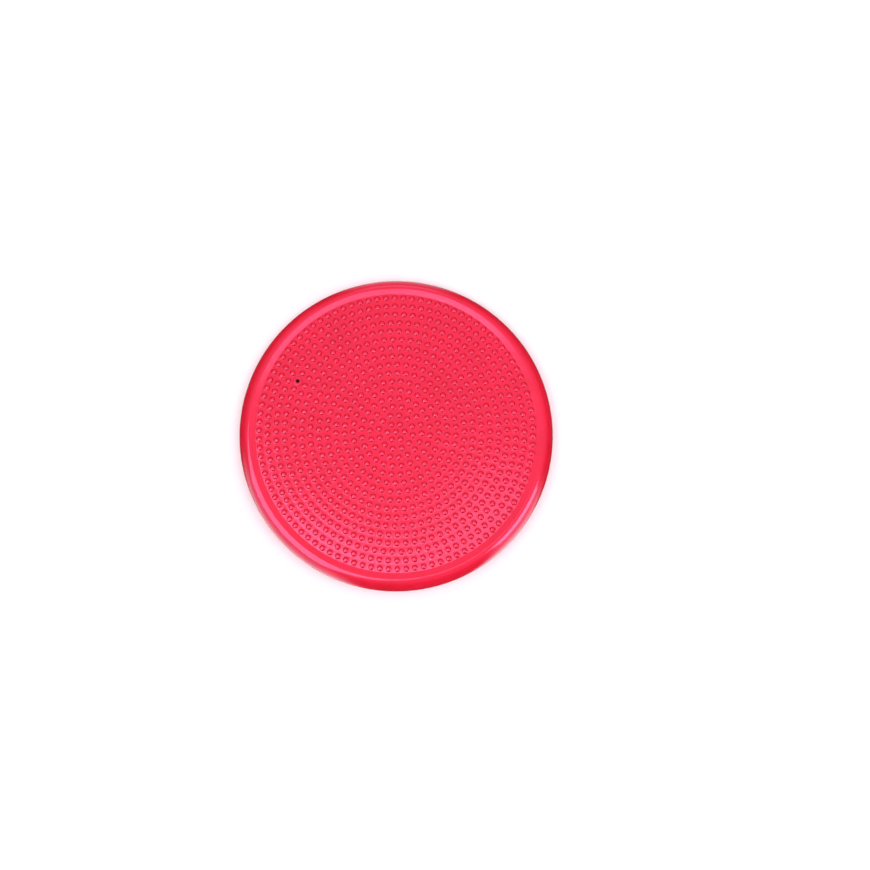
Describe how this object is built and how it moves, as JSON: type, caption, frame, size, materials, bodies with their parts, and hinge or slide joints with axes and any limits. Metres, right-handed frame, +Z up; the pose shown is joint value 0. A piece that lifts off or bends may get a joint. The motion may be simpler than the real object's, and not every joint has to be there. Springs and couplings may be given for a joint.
{
  "type": "wobble cushion",
  "caption": "Round air-filled PVC balance cushion with nubbed faces, a smooth rounded rim and a needle valve; it rocks on its underside and its top gives.",
  "frame": {"origin": "on the floor, under the middle of the round underside", "axes": "+Z up through the middle of both faces; the needle valve lies to the back left, towards -X and +Y"},
  "size_m": [0.33, 0.33, 0.06],
  "materials": {
    "pvc_skin": "soft gloss",
    "valve_pvc": "gloss",
    "valve_rubber": "matte"
  },
  "bodies": {
    "lower_face": {"lower_face": "pvc_skin"},
    "lower_flank": {"lower_flank": "pvc_skin"},
    "rim": {"rim": "pvc_skin"},
    "upper_face": {"upper_face": "pvc_skin", "valve_housing": "valve_pvc", "valve_core": "valve_rubber"}
  },
  "joints": [
    {"name": "rock_front_back", "type": "hinge", "parent": "lower_face", "child": "lower_flank", "pos_m": [0, 0, 0.009], "axis": [1, 0, 0], "range_deg": [-2.7, 2.7], "stiffness_Nm_per_rad": 180},
    {"name": "rock_side_to_side", "type": "hinge", "parent": "lower_flank", "child": "rim", "pos_m": [0, 0, 0.0133], "axis": [0, 1, 0], "range_deg": [-2.7, 2.7], "stiffness_Nm_per_rad": 180},
    {"name": "press_down", "type": "slide", "parent": "rim", "child": "upper_face", "axis": [0, 0, -1], "range_m": [0, 0.012], "stiffness_N_per_m": 25000}
  ]
}
